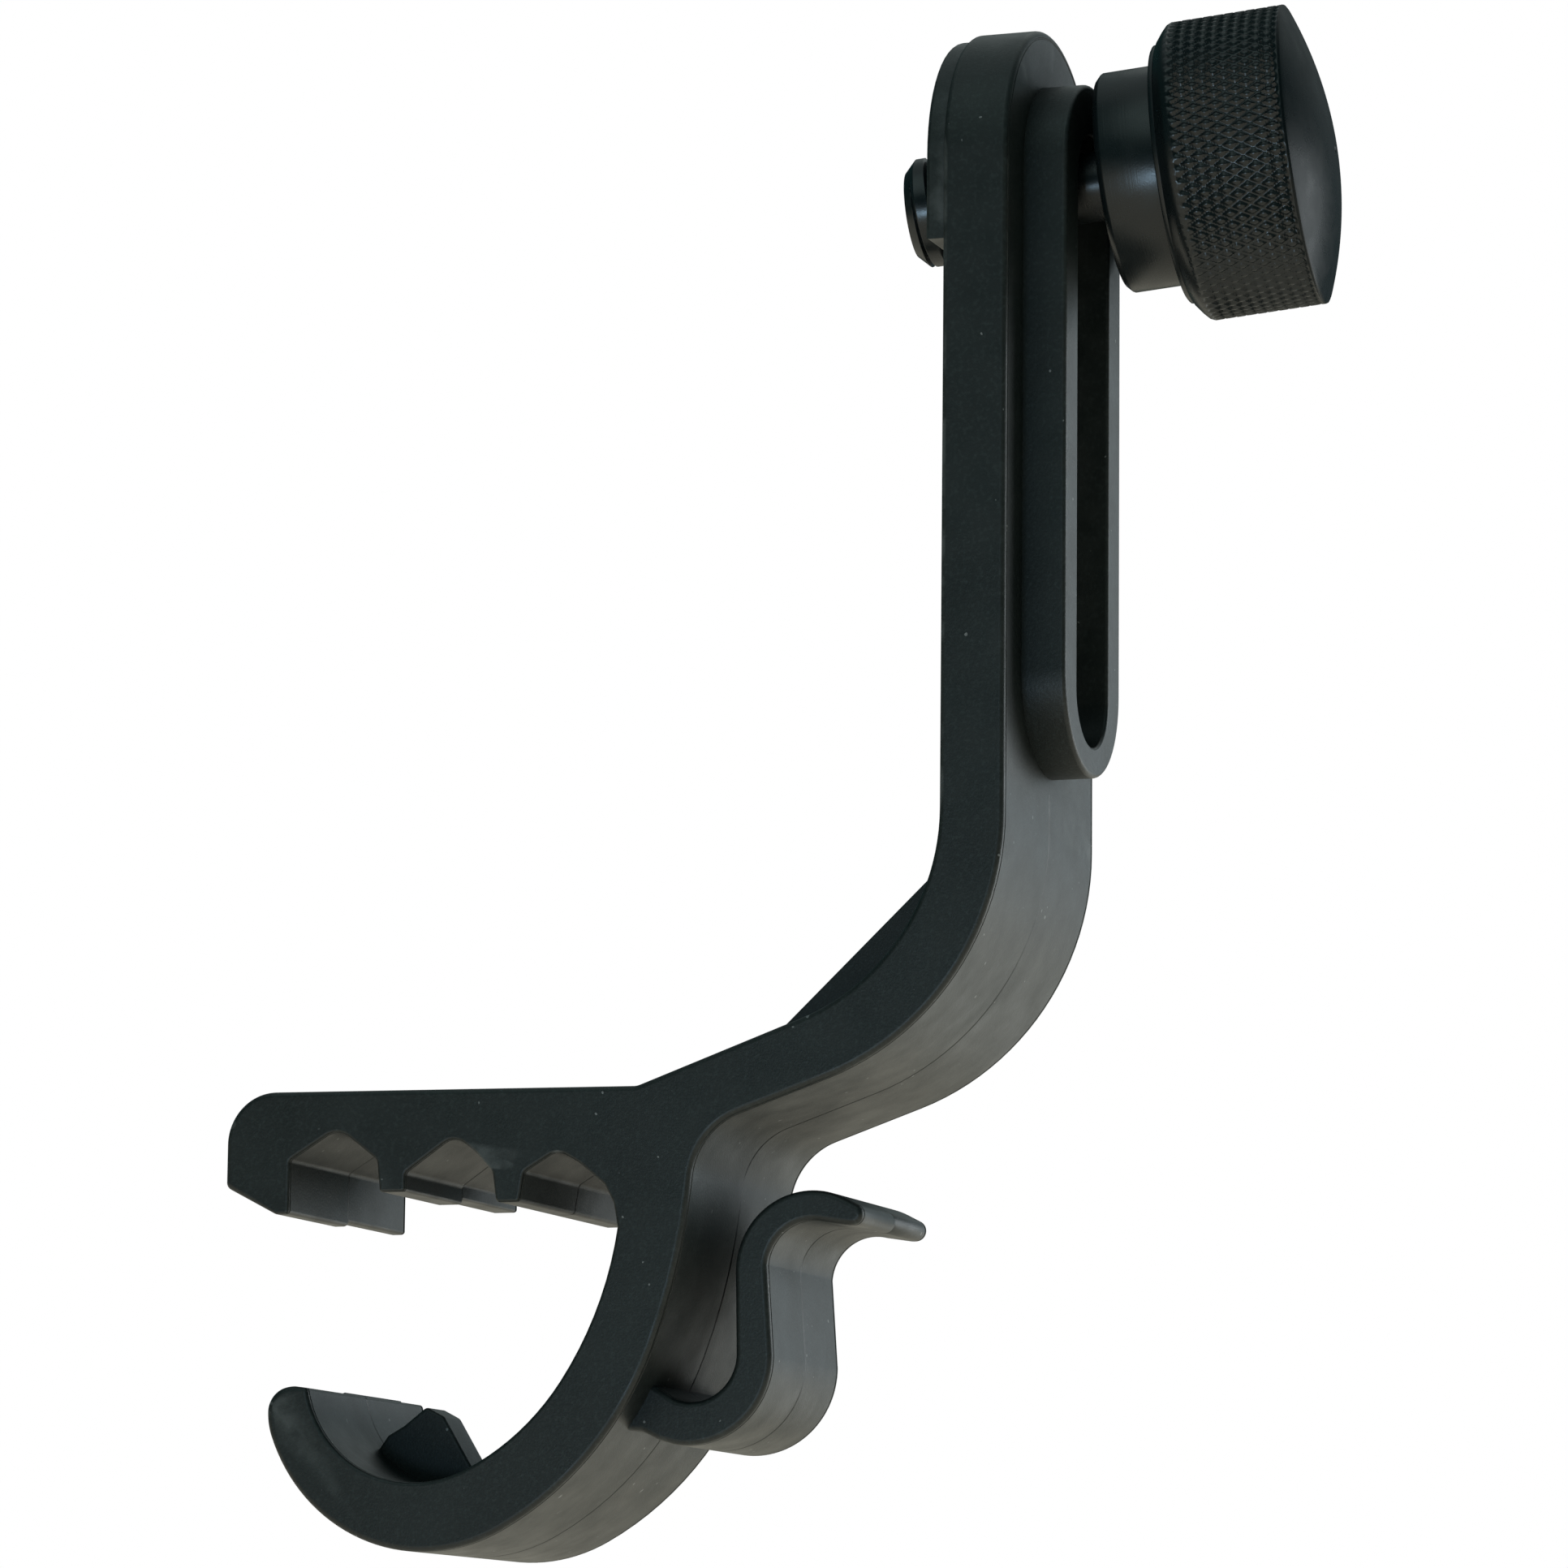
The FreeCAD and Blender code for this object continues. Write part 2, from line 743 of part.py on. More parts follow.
def thumb_knob(doc):
    """The thumbscrew's knob: a collar, a shoulder, a gripping rim and a low dome, over a blind bore."""
    body = new_body(doc, "thumb_knob")
    bore = size("shank_radius") + size("running_gap")
    rim = size("knob_radius")
    rise = size("dome_rise")
    knob = Outline(body, "knob_outline", "XZ_Plane", bore, size("collar_start"))
    knob.to(size("collar_edge_radius"), size("collar_start"))
    knob.to(size("collar_radius"), size("collar_chamfer_end"))
    knob.to(size("collar_radius"), size("collar_end"))
    knob.to(size("shoulder_radius"), size("shoulder_start"))
    knob.to(size("shoulder_radius"), size("shoulder_end"))
    knob.to(rim, size("knob_start"))
    knob.to(rim, size("knob_end"))
    knob.arc_to(0.0, size("knob_end") + rise, (rim * rim + rise * rise) / (2 * rise), 1)
    knob.to(0.0, size("bore_end"))
    knob.to(bore, size("bore_end"))
    revolve(body, "knob", knob)
    lean_with_screw(body)
    return body


def check(doc, bodies):
    """Stop if any object failed or any sub-part is not one sound solid."""
    for item in doc.Objects:
        if {"Invalid", "Error"} & set(item.State):
            raise RuntimeError(f"{item.Name} failed: {item.State}")
    for body in bodies:
        shape = body.Shape
        if shape.isNull() or not shape.isValid() or len(shape.Solids) != 1:
            raise RuntimeError(f"{body.Label} is not a sound solid")


def main():
    doc = FreeCAD.newDocument("drum_rim_clamp")
    write_sheet(doc)
    makers = (clip_arm, spring_hook, release_lever, threaded_stud, thumb_knob)
    bodies = [make(doc) for make in makers]
    doc.recompute()
    check(doc, bodies)
    os.makedirs(FOLDER, exist_ok=True)
    for body in bodies:
        body.Shape.exportStep(f"{FOLDER}/{body.Label}.step")
        print(body.Label, round(body.Shape.Volume, 1))


main()
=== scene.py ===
import json
import math

import bmesh
import bpy
import numpy as np
from mathutils import Matrix, Vector


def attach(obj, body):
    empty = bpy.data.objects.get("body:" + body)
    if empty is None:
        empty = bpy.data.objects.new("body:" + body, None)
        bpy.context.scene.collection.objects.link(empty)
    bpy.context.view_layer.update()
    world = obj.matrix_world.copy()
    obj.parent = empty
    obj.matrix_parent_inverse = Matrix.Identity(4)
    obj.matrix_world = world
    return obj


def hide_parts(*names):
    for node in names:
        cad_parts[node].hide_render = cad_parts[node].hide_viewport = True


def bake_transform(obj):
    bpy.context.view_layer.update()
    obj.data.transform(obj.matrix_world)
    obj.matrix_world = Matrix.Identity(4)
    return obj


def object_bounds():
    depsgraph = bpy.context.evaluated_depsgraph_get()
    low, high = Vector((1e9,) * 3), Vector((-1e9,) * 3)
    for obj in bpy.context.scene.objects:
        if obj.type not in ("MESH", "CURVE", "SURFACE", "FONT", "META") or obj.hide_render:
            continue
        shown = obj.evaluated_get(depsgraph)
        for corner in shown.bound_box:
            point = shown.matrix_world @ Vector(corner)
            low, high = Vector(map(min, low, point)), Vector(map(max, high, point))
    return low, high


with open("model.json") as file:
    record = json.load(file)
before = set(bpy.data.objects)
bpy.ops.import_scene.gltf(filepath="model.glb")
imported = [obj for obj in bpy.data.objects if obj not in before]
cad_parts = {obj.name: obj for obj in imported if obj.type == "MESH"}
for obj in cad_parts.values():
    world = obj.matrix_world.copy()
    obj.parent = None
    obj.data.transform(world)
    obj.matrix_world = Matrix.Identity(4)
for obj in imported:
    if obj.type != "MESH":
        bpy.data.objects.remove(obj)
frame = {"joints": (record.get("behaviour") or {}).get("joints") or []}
frame_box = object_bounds()

# Outlines and sizes are in millimetres, in the frame's own axes, and are scaled to metres as they
# are turned into meshes. Angles are in degrees.
MM = 0.001
ARC_STEP = 3.0  # degrees between points on a round stretch
CORNER_STEP = 12.0  # the same on a small rounded corner
NEARLY_STRAIGHT = 0.02  # radians of turn below which a corner isn't rounded
CORNER_REACH = 0.48  # the most of a straight run that a rounded corner takes up
ROUND_STEPS = 48  # steps round the arm's half-round top
STADIUM_STEPS = 32  # steps round each end of the slot, the boss and the seat

# the moulding
WIDTH = 26.0
EDGE = 0.5
HOOK_EDGE = 0.35
TOOTH_EDGE = 0.25
ARM_OUTER = 59.85
ARM_INNER = 54.2
ARM_SPRING = 81.9  # where the arm's straight sides turn into its round top
SPLICE = 28.6  # below this height the moulding is drawn from its side view only
BEND_HIGH = 25.2  # where the outside of the bend begins
BEND_RADIUS = 23.0
BEND_SWEEP = 70.6
BEND_INSIDE_RADIUS = 18.45
BEND_INSIDE_HIGH = 25.9
JAW_SLOPE = 19.5  # how steeply the inside of the bend leaves the jaw
ARMPIT_RADIUS = 6.2
ARMPIT_SWEEP = 64.1
NOSE = -9.87
NOSE_RADIUS = 4.4
# each arc of the hook is a radius and the angle it turns through
HOOK_OUTSIDE = ((52.9, -14.4), (28.88, -40.9), (14.97, -98.0))
HOOK_TOE = ((6.0, -20.0), (2.15, -75.0), (3.0, -17.0))
HOOK_INSIDE = ((9.7, 64.0), (10.9, 42.1), (21.5, 29.7), (30.5, 26.2))
# a tooth whose far half is shorter: its left and right, its root and tip, and the step at the tip
SHORT_TEETH = ((-9.8, -3.9, -4.5, -6.9, 0.35), (4.0, 6.9, -2.5, -5.2, 0.42))
# fine lines that the mould leaves, as steps across the width and their depths
WITNESS_LINE = ((0.05, 0.0), (0.12, 0.07), (0.2, 0.07), (0.27, 0.0))
PARTING_LINE = ((-0.16, 0.0), (-0.06, 0.05), (0.06, 0.05), (0.16, 0.0))
FAR_HALF = 0.1  # the depth past which the moulding has its far half's outline

# the slot, the boss round it and the seat behind it
BOSS_FACE = 63.65
BOSS_RADIUS = 8.1
BOSS_LOW = 38.0
BOSS_HIGH = 81.9
BOSS_EDGE = 0.4
SLOT_RADIUS = 4.5
SLOT_LOW = 37.0
SLOT_HIGH = 81.1
SLOT_EDGE = 0.3
SEAT_FACE = 52.55
SEAT_RADIUS = 12.5
SEAT_LOW = 74.5
SEAT_EDGE = 0.4
SEAT_BURIED = 0.2

# the web in the bend and the wedge in the hook, which are equally thick
RIB_HALF = 2.0
WEB_EDGE = 0.2
WEDGE_EDGE = 0.3

# the release lever
LEVER_HALF = 8.8
ELBOW_INSIDE = 4.0
ELBOW_OUTSIDE = 7.45
CREST_OUTSIDE = 6.65
CREST_INSIDE = 4.0

# the thumbscrew, in heights along its own axis from the knob's spin joint
BORE_RADIUS = 3.05
COLLAR_START = 6.4
COLLAR_RADIUS = 9.5
SHOULDER_START = 11.6
KNOB_RADIUS = 12.87
RIM_START = 13.5
RIM_END = 23.0
RIM_EDGE = 0.25
DOME_RISE = 2.45
DOME_STEPS = 24
DIMPLE_RADIUS = 0.42
DIMPLE_DEPTH = 0.12
KNURLS = 76
KNURL_DEPTH = 0.3
KNURL_SLANT = 30.0
KNURL_FLANK = 0.9  # how fast a groove's side rises
KNURL_RUNOUT = 0.35  # how far in from the rim's ends the grooves reach their full depth
KNURL_ROW = 0.115  # the height between rows of points
AROUND = KNURLS * 8
SHANK_RADIUS = 3.0
SHANK_AROUND = 96
CORE_RADIUS = 3.7
END_RADIUS = 3.72
THREAD_RADIUS = 4.72
THREAD_DEPTH = 0.4
THREAD_PITCH = 25.4 / 16
THREAD_START = -7.6
THREAD_END = -11.24
THREAD_ROWS = 90
THREAD_AROUND = 128
ROOT_SHARE = 0.3  # of the pitch that the thread's root takes up
ROOT_START = 1.55  # how far above the thread's end a root lies, where its turn starts
RUN_IN_RISE = 0.9  # how far the thread rises from its core beside the shank
RUN_IN = 0.4  # the height over which it does so

# colours
PLASTIC_DARK = (0.0050, 0.0085, 0.0085)
PLASTIC_LIGHT = (0.0085, 0.0130, 0.0130)
PLASTIC_SPECK = (0.022, 0.031, 0.031)
# the plastic's lighter edge colour: partly rubbed wear, partly a painted highlight along the rounded edges
PLASTIC_WORN_AND_HIGHLIGHT = (0.075, 0.083, 0.085)
PLASTIC_NICK = (0.28, 0.29, 0.30)
METAL_DARK = (0.004, 0.007, 0.008)
METAL_LIGHT = (0.007, 0.011, 0.013)
METAL_WORN = (0.06, 0.065, 0.075)
FLOOR_DARK = (0.83, 0.73, 0.60)
FLOOR_LIGHT = (0.89, 0.79, 0.66)

# the share of a surface that looks matt: the metal and the knob's dome; and, for the plastic, the most of
# a painted shade that darkens its deepest recesses with a dull dark colour
METAL_MATT = 0.45
DOME_MATT = 0.78
RECESS_SHADE = 0.42

# the camera: its place in millimetres, where it looks, and its lens in millimetres
CAMERA_PLACE = (221.48, -523.88, -55.54)
CAMERA_AZIMUTH = 19.50
CAMERA_CLIMB = 8.80
CAMERA_ROLL = 0.587
CAMERA_LENS = 150.03
CAMERA_SENSOR = 36.0

# the room, in metres: the floor, then soft patches of light on the walls, each with its azimuth from
# the far side toward the right, its height, its half-width and the colour it adds to the dim room
FLOOR_HEIGHT = frame_box[0][2] - 0.12
FLOOR_HALF = 3.0
FLOOR_GLOW = 0.5
ROOM = (0.02, 0.055, 0.055)
SOFT_LIGHTS = (
    (22, 8, 24, (0.10, 0.13, 0.15)),
    (5, 42, 20, (0.50, 0.53, 0.52)),
    (185, 50, 20, (0.55, 0.70, 0.68)),
    (-20, 75, 30, (0.30, 0.33, 0.33)),
)


class Pen:
    """Walks an outline in millimetres: straight runs, smooth arcs and rounded corners."""

    def __init__(self, across, up, heading=0.0, edge=EDGE):
        self.knots = [(across, up, 0.0, edge)]
        self.heading = heading
        self.edge = edge

    def to(self, across, up, round_by=0.0):
        """A straight run to a corner, which is rounded off by a small radius."""
        self.knots.append((across, up, round_by, self.edge))

    def go(self, length):
        """A straight run of some length along the heading."""
        across, up = self.knots[-1][:2]
        angle = math.radians(self.heading)
        self.to(across + length * math.cos(angle), up + length * math.sin(angle))

    def start_arc(self, middle, radius, heading):
        """A straight run to where a left-turning arc round a middle has a heading."""
        angle = math.radians(heading)
        self.to(middle[0] + radius * math.sin(angle), middle[1] - radius * math.cos(angle))
        self.heading = heading

    def turn(self, radius, sweep):
        """A smooth arc on from the heading; a positive sweep turns left."""
        across, up = self.knots[-1][:2]
        reach = radius if sweep > 0 else -radius
        start = math.radians(self.heading)
        middle = (across - reach * math.sin(start), up + reach * math.cos(start))
        count = max(2, int(math.ceil(abs(sweep) / ARC_STEP)))
        for i in range(1, count + 1):
            angle = start + math.radians(sweep) * i / count
            self.to(middle[0] + reach * math.sin(angle), middle[1] - reach * math.cos(angle))
        self.heading += sweep

    def points(self, closed=True):
        """The outline as rows of across, up and edge radius, with its corners rounded off."""
        found = []
        count = len(self.knots)
        for i, (across, up, round_by, edge) in enumerate(self.knots):
            here = np.array((across, up))
            ends = not closed and i in (0, count - 1)
            if round_by <= 0 or ends:
                found.append((across, up, edge))
                continue
            before = np.array(self.knots[i - 1][:2])
            after = np.array(self.knots[(i + 1) % count][:2])
            found += [(*p, edge) for p in rounded_corner(before, here, after, round_by)]
        return np.array(found)


def rounded_corner(before, here, after, radius):
    """Points that round a corner off between two straight runs."""
    back = before - here
    on = after - here
    back_length = np.linalg.norm(back)
    on_length = np.linalg.norm(on)
    back = back / back_length
    on = on / on_length
    between = math.acos(np.clip(np.dot(back, on), -1, 1))
    if math.pi - between < NEARLY_STRAIGHT:
        return [here]
    cut = min(radius / math.tan(between / 2), CORNER_REACH * back_length, CORNER_REACH * on_length)
    radius = cut * math.tan(between / 2)
    bisector = back + on
    middle = here + bisector / np.linalg.norm(bisector) * radius / math.sin(between / 2)
    first = here + back * cut - middle
    last = here + on * cut - middle
    sweep = math.pi - between
    count = max(2, int(math.ceil(math.degrees(sweep) / CORNER_STEP)))
    side = 1 if first[0] * last[1] - first[1] * last[0] > 0 else -1
    found = []
    for i in range(count + 1):
        angle = side * sweep * i / count
        spin = np.array(((math.cos(angle), -math.sin(angle)), (math.sin(angle), math.cos(angle))))
        found.append(middle + spin @ first)
    return found


def inward(points, closed=True):
    """For each outline point, the step that moves both its neighbouring runs inwards by one unit."""
    places = points[:, :2]
    if closed:
        before = np.roll(places, 1, axis=0)
        after = np.roll(places, -1, axis=0)
    else:
        before = np.vstack((2 * places[0] - places[1], places[:-1]))
        after = np.vstack((places[1:], 2 * places[-1] - places[-2]))
    one = places - before
    two = after - places
    one /= np.linalg.norm(one, axis=1)[:, None]
    two /= np.linalg.norm(two, axis=1)[:, None]
    left = np.array((-one[:, 1] - two[:, 1], one[:, 0] + two[:, 0])).T
    scale = 1 + np.sum(one * two, axis=1)
    area = np.sum(places[:, 0] * np.roll(places[:, 1], -1) - np.roll(places[:, 0], -1) * places[:, 1])
    return left / scale[:, None] * (1 if area > 0 else -1)


def side_place(across, deep, up):
    """Maps a side-view outline: across is X, up is Z and deep is Y."""
    return Vector((across, deep, up)) * MM


def front_place(across, deep, up):
    """Maps a front-view outline: across is Y, up is Z and deep is X."""
    return Vector((deep, across, up)) * MM


def add_loop(bm, points, deep, place, inset=0.0, normals=None):
    """A row of vertices: an outline at one depth, moved inwards; both may vary along the outline."""
    found = []
    depths = np.broadcast_to(deep, len(points))
    insets = np.broadcast_to(inset, len(points))
    for i, point in enumerate(points):
        across, up = point[:2]
        if normals is not None:
            across += normals[i][0] * insets[i]
            up += normals[i][1] * insets[i]
        found.append(bm.verts.new(place(across, depths[i], up)))
    return found


def skin(bm, one, two, closed=True):
    """Quads between two rows of vertices."""
    count = len(one)
    for i in range(count if closed else count - 1):
        j = (i + 1) % count
        bm.faces.new((one[i], one[j], two[j], two[i]))


def edge_profile(radius, steps=5):
    """Pairs of inset and depth over a rounded edge, from the flat face to the wall."""
    found = []
    for i in range(steps + 1):
        angle = math.pi / 2 * i / steps
        found.append((radius * (1 - math.sin(angle)), radius * (1 - math.cos(angle))))
    return found


def finish_mesh(bm, name, material, sharp=40.0):
    """Turns a bmesh into a smooth-shaded object whose flat faces stay flat."""
    bmesh.ops.remove_doubles(bm, verts=bm.verts, dist=1e-7)
    bmesh.ops.recalc_face_normals(bm, faces=bm.faces)
    mesh = bpy.data.meshes.new(name)
    bm.to_mesh(mesh)
    bm.free()
    mesh.shade_smooth()
    mesh.set_sharp_from_angle(angle=math.radians(sharp))
    mesh.materials.append(material)
    made = bpy.data.objects.new(name, mesh)
    bpy.context.scene.collection.objects.link(made)
    weighted = made.modifiers.new("flat_faces", "WEIGHTED_NORMAL")
    weighted.keep_sharp = True
    weighted.weight = 80
    return made


def join_loops(bm, loops, closed=True):
    """Quads between each row of vertices and the next."""
    for one, two in zip(loops, loops[1:]):
        skin(bm, one, two, closed)


def cap(bm, loops):
    """Flat faces over the first and last rows of vertices."""
    bm.faces.new(loops[0])
    bm.faces.new(loops[-1])


def add_prism(bm, points, low, high, edge):
    """A closed prism of a side-view outline between two depths, with rounded edges."""
    normals = inward(points)
    profile = edge_profile(1.0)
    rows = [(inset, low, depth) for inset, depth in profile]
    rows += [(inset, high, -depth) for inset, depth in profile[::-1]]
    loops = [
        add_loop(bm, points, base + shift * edge, side_place, inset * edge, normals)
        for inset, base, shift in rows
    ]
    join_loops(bm, loops)
    cap(bm, loops)


def moulding_outline():
    """The arm's outer face, the bend, the hook, the jaw and the arm's inner face, as an open run."""
    pen = Pen(ARM_OUTER, ARM_SPRING, -90.0)
    pen.to(ARM_OUTER, SPLICE)
    pen.to(ARM_OUTER, BEND_HIGH)
    pen.turn(BEND_RADIUS, -BEND_SWEEP)
    pen.go(8.3)
    pen.turn(ARMPIT_RADIUS, ARMPIT_SWEEP)
    pen.go(1.4)
    # the outside of the hook: three arcs, each tighter than the last, then the toe
    for radius, sweep in HOOK_OUTSIDE + HOOK_TOE:
        pen.turn(radius, sweep)
    pen.edge = HOOK_EDGE
    hook_inside(pen)
    notches(pen)
    pen.edge = EDGE
    # the jaw's nose and top, then the inside of the bend
    pen.to(NOSE, -4.5, 0.7)
    pen.to(NOSE, -0.8)
    pen.heading = 90.0
    pen.turn(NOSE_RADIUS, -90.0)
    pen.to(27.6, 3.3, 1.5)
    bend_middle = (ARM_INNER - BEND_INSIDE_RADIUS, BEND_INSIDE_HIGH)
    pen.start_arc(bend_middle, BEND_INSIDE_RADIUS, JAW_SLOPE)
    pen.turn(BEND_INSIDE_RADIUS, 90.0 - JAW_SLOPE)
    pen.to(ARM_INNER, SPLICE)
    pen.to(ARM_INNER, ARM_SPRING)
    return pen.points(closed=False)


def hook_inside(pen):
    """The inside of the hook from its toe up to the neck."""
    pen.to(-1.9, -21.72, 0.4)
    pen.heading = -80.0
    for radius, sweep in HOOK_INSIDE:
        pen.turn(radius, sweep)


def notches(pen):
    """The underside of the jaw, from the neck to the nose: three notches with two teeth between
    them, and the front tooth that ends the nose."""
    pen.edge = TOOTH_EDGE
    # the back notch
    pen.to(25.75, -6.6, 1.5)
    pen.to(24.9, -5.0, 1.0)
    pen.to(22.6, -3.1, 2.0)
    pen.to(20.6, -1.95, 1.6)
    # the back tooth
    pen.to(17.6, -3.75, 0.6)
    pen.to(17.2, -6.28, 0.4)
    pen.to(15.1, -6.28, 0.4)
    pen.to(14.75, -3.7, 0.9)
    # the middle notch
    pen.to(13.2, -2.0, 1.8)
    pen.to(11.2, -0.5, 1.6)
    # the inner tooth
    pen.to(6.75, -3.6, 0.6)
    pen.to(6.75, -5.2, 0.3)
    pen.to(4.45, -5.2, 0.3)
    pen.to(4.15, -2.45, 0.6)
    # the front notch, then the front tooth
    pen.to(0.5, 0.4, 1.9)
    pen.to(-3.95, -2.3, 0.5)
    pen.to(-3.95, -6.9, 0.35)
    pen.to(-5.15, -6.9, 0.5)


def shorter_teeth(run):
    """The same outline with the two front teeth drawn back a little: the far half of the mould."""
    short = run.copy()
    for left, right, root, tip, step in SHORT_TEETH:
        in_tooth = (run[:, 0] > left) & (run[:, 0] < right)
        share = np.clip((root - run[:, 1]) / (root - tip), 0, 1)
        short[:, 1] += np.where(in_tooth, step * share, 0.0)
    return short


def side_rows(half, edge):
    """Pairs of depth and inset from a side face, at half the width, inwards: over the rounded edge and
    the fine witness line beside it. The edge radius may vary along the outline."""
    rows = [(half - depth * edge, inset * edge) for inset, depth in edge_profile(1.0)]
    rows += [(half - edge - along, down) for along, down in WITNESS_LINE]
    return rows


def full_rows(near):
    """The rows of one side, the parting line down the middle and the same rows on the other side."""
    rows = [(-depth, inset) for depth, inset in near]
    rows += PARTING_LINE
    rows += near[::-1]
    return rows


def half_ring(radius, middle, start, steps):
    """Points on a half circle in the front view, turning left from an angle in half turns."""
    found = []
    for i in range(steps + 1):
        angle = math.pi * (start + i / steps)
        found.append((radius * math.cos(angle), middle + radius * math.sin(angle)))
    return found


def stadium(radius, low, high):
    """A long outline with round ends, seen from the front and turning left from its upper right."""
    over = half_ring(radius, high, 0, STADIUM_STEPS)
    under = half_ring(radius, low, 1, STADIUM_STEPS)
    return np.array(over + under)


def build_moulding(material):
    """The arm, bend, jaw and hook as one continuous moulding."""
    bm = bmesh.new()
    run = moulding_outline()
    normals = inward(run, closed=False)
    normals[0] = (-1.0, 0.0)
    normals[-1] = (1.0, 0.0)
    near = side_rows(WIDTH / 2, run[:, 2])
    far_run = shorter_teeth(run)
    loops = []
    for depth, inset in full_rows(near):
        outline = far_run if np.mean(depth) > FAR_HALF else run
        loops.append(add_loop(bm, outline, depth, side_place, inset, normals))
    solid = len(near)
    last = len(run) - 1
    for k, (one, two) in enumerate(zip(loops, loops[1:])):
        inside = solid - 1 <= k < len(loops) - solid
        for i in range(last):
            # the arm's front and back are left open between the splice and the top
            if inside and i in (0, last - 1):
                continue
            bm.faces.new((one[i], one[i + 1], two[i + 1], two[i]))
    cap(bm, loops)
    add_round_top(bm, loops[:solid])
    flat = loops[solid - 1 : len(loops) - solid + 1]
    boss_foot = stadium(BOSS_RADIUS, BOSS_LOW, BOSS_HIGH)
    slot_mouth = stadium(SLOT_RADIUS, SLOT_LOW, SLOT_HIGH)
    fill_arm_face(bm, flat, 0, 1, ARM_OUTER, boss_foot)
    fill_arm_face(bm, flat, last, last - 1, ARM_INNER, slot_mouth)
    add_boss(bm)
    return finish_mesh(bm, "moulded_body", material)


def add_round_top(bm, near_loops):
    """The half-round top of the arm: the arm's section turned about the axis of its round end."""
    section = [loop[0].co.copy() for loop in near_loops][::-1]
    section += [loop[-1].co.copy() for loop in near_loops]
    rows = []
    for i in range(ROUND_STEPS + 1):
        angle = math.pi * i / ROUND_STEPS
        row = []
        for co in section:
            out = -co.y
            up = ARM_SPRING * MM + out * math.sin(angle)
            row.append(bm.verts.new((co.x, -out * math.cos(angle), up)))
        rows.append(row)
    join_loops(bm, rows, closed=False)


def fill_arm_face(bm, flat, end, splice, deep, hole):
    """One flat face of the arm above the splice, round a hole. The flat's rows of vertices run across
    the width; each starts or ends at the top of the face, with the splice as its next vertex."""
    half_flat = -flat[0][end].co.y / MM
    outer = []
    for i in range(ROUND_STEPS + 1):
        angle = math.pi * i / ROUND_STEPS
        outer.append((-half_flat * math.cos(angle), ARM_SPRING + half_flat * math.sin(angle)))
    foot = [loop[splice].co for loop in flat][::-1]
    outer += [(co.y / MM, co.z / MM) for co in foot]
    rings = []
    for ring in (outer, hole):
        verts = [bm.verts.new(front_place(across, deep, up)) for across, up in ring]
        rings += [bm.edges.new((verts[i], verts[(i + 1) % len(verts)])) for i in range(len(verts))]
    bmesh.ops.triangle_fill(bm, use_beauty=True, use_dissolve=False, edges=rings)


def add_boss(bm):
    """The raised boss round the slot, its mouth, and the slot's wall through to the inner face."""
    outside = [(BOSS_RADIUS, ARM_OUTER)]
    for inset, depth in edge_profile(BOSS_EDGE)[::-1]:
        outside.append((BOSS_RADIUS - inset, BOSS_FACE - depth))
    inside = [(SLOT_RADIUS + inset, BOSS_FACE - depth) for inset, depth in edge_profile(SLOT_EDGE)]
    inside.append((SLOT_RADIUS, ARM_INNER))
    loops = []
    for rows, low, high in ((outside, BOSS_LOW, BOSS_HIGH), (inside, SLOT_LOW, SLOT_HIGH)):
        for radius, deep in rows:
            ring = stadium(radius, low, high)
            loops.append([bm.verts.new(front_place(across, deep, up)) for across, up in ring])
    join_loops(bm, loops)


def build_seat(material):
    """The raised seat on the arm's inner face, open below where the slot runs out of it."""
    bm = bmesh.new()
    points = half_ring(SEAT_RADIUS, ARM_SPRING, 0, STADIUM_STEPS)
    points += [(-SEAT_RADIUS, SEAT_LOW), (-SLOT_RADIUS, SEAT_LOW)]
    points += half_ring(SLOT_RADIUS, SLOT_HIGH, 0, STADIUM_STEPS)[::-1]
    points += [(SLOT_RADIUS, SEAT_LOW), (SEAT_RADIUS, SEAT_LOW)]
    points = np.array(points)
    normals = inward(points)
    rows = [(ARM_INNER + SEAT_BURIED, 0.0)]
    rows += [(SEAT_FACE + depth, inset) for inset, depth in edge_profile(SEAT_EDGE)[::-1]]
    loops = [add_loop(bm, points, deep, front_place, inset, normals) for deep, inset in rows]
    join_loops(bm, loops)
    cap(bm, loops)
    return finish_mesh(bm, "arm_seat", material)


def build_web(material):
    """The thin web across the inside of the bend."""
    pen = Pen(ARM_INNER, 25.7)
    pen.to(32.3, 4.95)
    pen.to(35.5, 3.0)
    pen.to(48.8, 12.6)
    pen.to(56.2, 25.7)
    bm = bmesh.new()
    add_prism(bm, pen.points(), -RIB_HALF, RIB_HALF, WEB_EDGE)
    return finish_mesh(bm, "bend_web", material)


def build_wedge(material):
    """The small wedge inside the hook's toe."""
    pen = Pen(-0.4, -27.2)
    pen.to(1.0, -25.2, 0.6)
    pen.to(2.5, -24.35, 1.5)
    pen.to(4.55, -22.75, 0.5)
    pen.to(6.2, -23.6, 0.7)
    pen.to(9.6, -29.2)
    pen.to(9.6, -31.0)
    pen.to(1.0, -29.0)
    bm = bmesh.new()
    add_prism(bm, pen.points(), -RIB_HALF, RIB_HALF, WEDGE_EDGE)
    return finish_mesh(bm, "hook_wedge", material)


